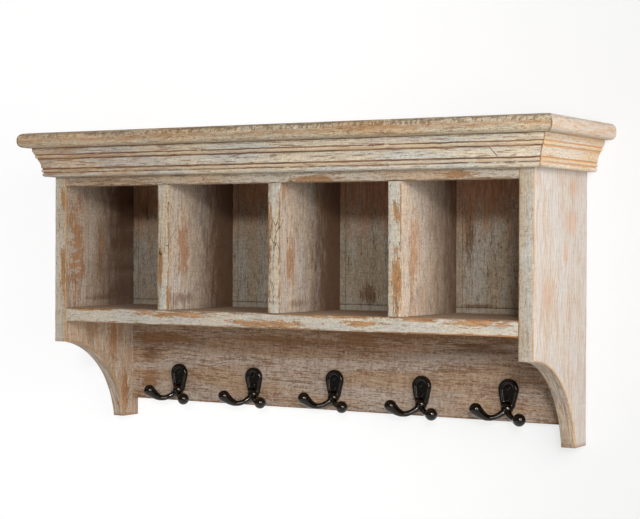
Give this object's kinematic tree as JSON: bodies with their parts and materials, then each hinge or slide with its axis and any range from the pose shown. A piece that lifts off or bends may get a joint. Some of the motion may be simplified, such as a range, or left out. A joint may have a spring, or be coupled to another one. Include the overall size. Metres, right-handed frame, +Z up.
{
  "type": "wall shelf with hooks",
  "caption": "Wooden wall shelf with open cubbies under a bullnosed top and mitred crown moulding, coved side panels and a rail of cast double coat hooks.",
  "frame": {"origin": "on the wall plane, midway between the two keyhole slots, level with the centres of their upper ends; this point lies on the back panel's rear face", "axes": "+X to the right along the shelf as seen from the room, +Y into the wall, +Z up; the front faces -Y"},
  "size_m": [0.795, 0.2035, 0.4025],
  "materials": {
    "limewashed_wood": "thin grey-white limewash, rubbed through to the brown wood along the edges",
    "aged_back_wood": "the same limewash, thinner, with saw marks",
    "beech": "bare fluted dowel stock",
    "bright_steel": "zinc plated",
    "black_iron": "black enamel, glossy"
  },
  "bodies": {
    "root": {"side_panel_left": "limewashed_wood", "side_panel_right": "limewashed_wood", "top_board": "limewashed_wood", "crown_front": "limewashed_wood", "crown_return_left": "limewashed_wood", "crown_return_right": "limewashed_wood", "frieze_rail": "limewashed_wood", "shelf_board": "limewashed_wood", "divider_left": "limewashed_wood", "divider_centre": "limewashed_wood", "divider_right": "limewashed_wood", "back_panel": "aged_back_wood", "hook_rail": "aged_back_wood", "shelf_dowels": "beech", "frieze_dowels": "beech", "hook_rail_dowels": "beech", "top_dowels": "beech", "divider_dowels": "beech", "crown_brads": "bright_steel", "back_panel_screws": "bright_steel", "keyhole_hanger_left": "bright_steel", "keyhole_hanger_right": "bright_steel", "hanger_screws": "bright_steel", "hook_1": "black_iron", "hook_2": "black_iron", "hook_3": "black_iron", "hook_4": "black_iron", "hook_5": "black_iron", "hook_screws": "black_iron"}
  },
  "joints": []
}
